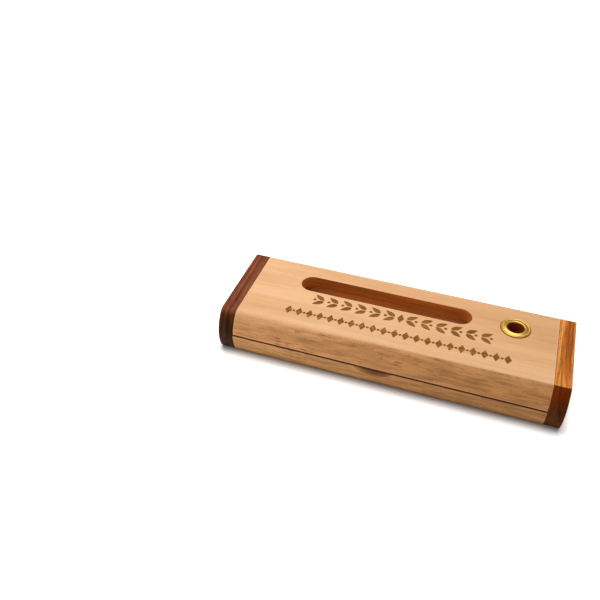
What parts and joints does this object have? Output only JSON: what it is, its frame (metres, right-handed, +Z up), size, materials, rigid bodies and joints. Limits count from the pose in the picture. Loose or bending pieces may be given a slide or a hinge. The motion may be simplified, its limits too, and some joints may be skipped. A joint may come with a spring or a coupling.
{
  "type": "wooden pen box",
  "caption": "Flip-top wooden pen box with bulging sides, dark end caps, a window slot over the pen channel and a round pen socket in the hinged lid.",
  "frame": {"origin": "middle of the box's underside", "axes": "+X along the box towards the pen socket, +Z up, front edge of the lid at -Y, hinge at +Y"},
  "size_m": [0.175, 0.0616, 0.0259],
  "materials": {
    "beech": "sanded beech with a thin satin lacquer",
    "rosewood": "sanded rosewood with a thin satin lacquer",
    "brass": "polished",
    "steel": "plain",
    "nickel": "nickel plated"
  },
  "bodies": {
    "case": {"base": "beech", "left_end_cap": "rosewood", "right_end_cap": "rosewood", "left_hinge_pin": "steel", "right_hinge_pin": "steel", "left_front_dowel": "beech", "left_rear_dowel": "beech", "right_front_dowel": "beech", "right_rear_dowel": "beech", "left_base_magnet": "nickel", "right_base_magnet": "nickel"},
    "lid": {"lid": "beech", "pen_socket": "brass", "left_lid_magnet": "nickel", "right_lid_magnet": "nickel"}
  },
  "joints": [
    {"name": "lid_hinge", "type": "hinge", "parent": "case", "child": "lid", "pos_m": [0, 0.02491, 0.0177], "axis": [-1, 0, 0], "range_deg": [0, 120]}
  ]
}
